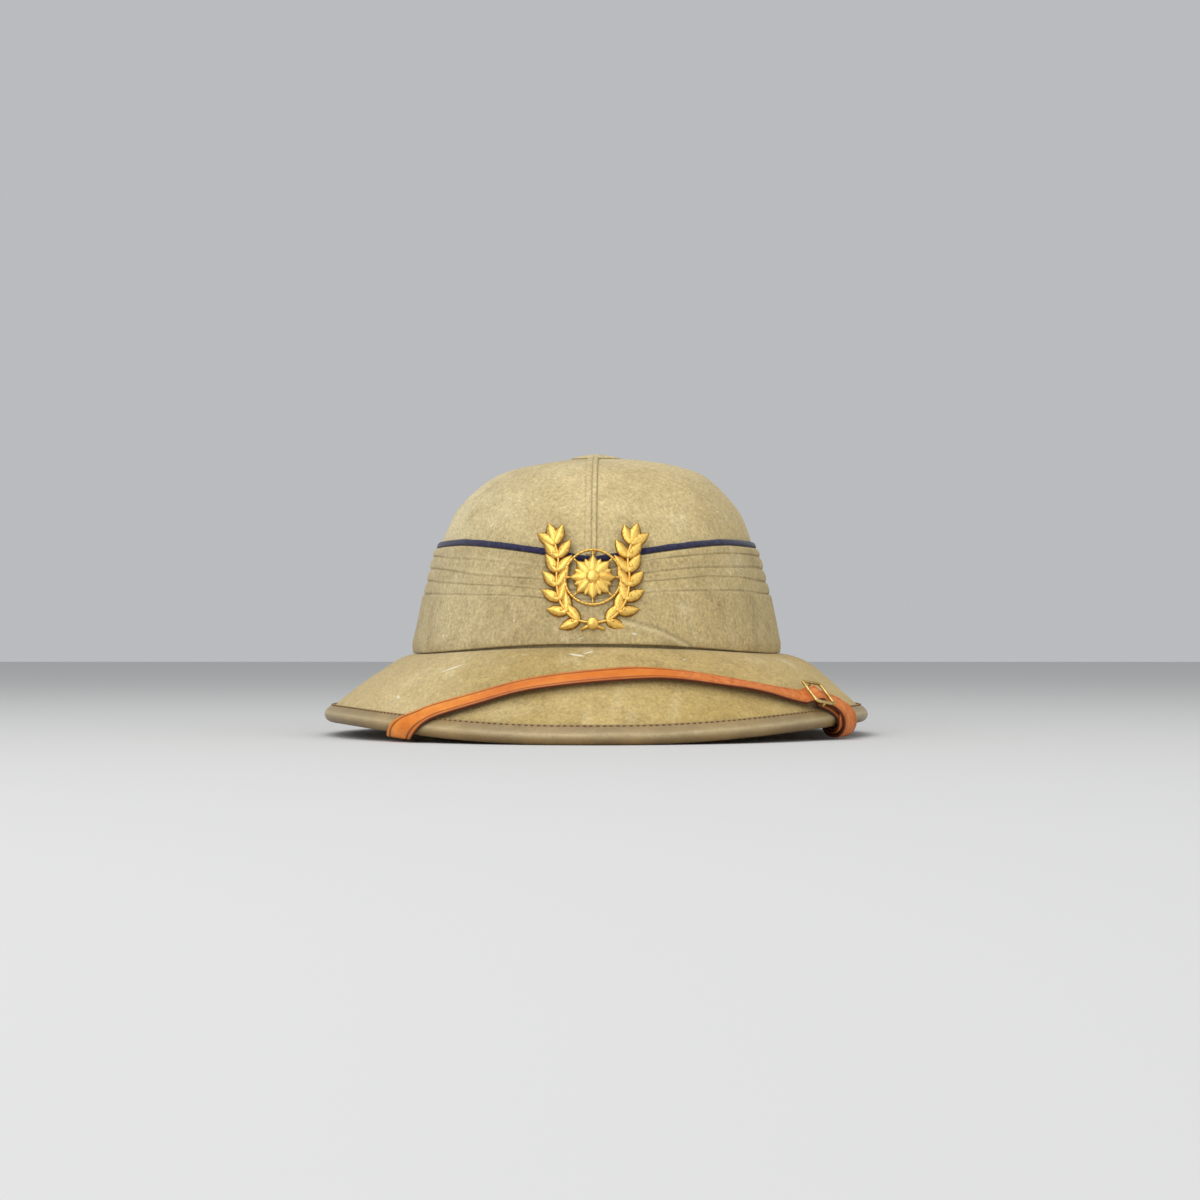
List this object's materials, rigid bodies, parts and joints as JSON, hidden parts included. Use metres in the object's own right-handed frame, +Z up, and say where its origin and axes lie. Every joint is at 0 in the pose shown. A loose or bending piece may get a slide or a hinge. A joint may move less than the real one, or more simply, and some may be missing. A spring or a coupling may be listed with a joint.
{
  "type": "pith helmet",
  "caption": "Khaki cloth-covered sun helmet with a pleated wrap, navy fold, pierced gilt wreath badge, leather-bound brim and buckled chin strap over the front",
  "frame": {"origin": "On the surface the helmet rests on, under the middle of the rim", "axes": "+Z up through the crown, -Y towards the badge at the front, +X towards the buckle's side"},
  "size_m": [0.3002, 0.3598, 0.1559],
  "materials": {
    "khaki_cloth": "fine khaki twill, sun-faded and slightly soiled",
    "wrap_cloth": "khaki cotton wrap, pressed pleats",
    "navy_cloth": "navy wool fold",
    "edge_leather": "khaki leather, rolled and rubbed along the edge",
    "strap_leather": "orange-tan strap leather with creased edges, worn near the buckle",
    "gilt": "bright gilt casting, polished relief over darker hollows",
    "brass": "plain brass, slightly dulled"
  },
  "bodies": {
    "root": {"crown": "khaki_cloth", "brim": "khaki_cloth", "crown_welt_front": "khaki_cloth", "crown_welt_back": "khaki_cloth", "vent_cap": "khaki_cloth", "brim_binding": "edge_leather", "pugaree": "wrap_cloth", "pugaree_stripe": "navy_cloth", "badge": "gilt", "badge_nut": "brass", "chin_strap": "strap_leather", "buckle_strap": "strap_leather", "strap_buckle": "brass", "strap_stud_left": "brass", "strap_stud_right": "brass"}
  },
  "joints": []
}
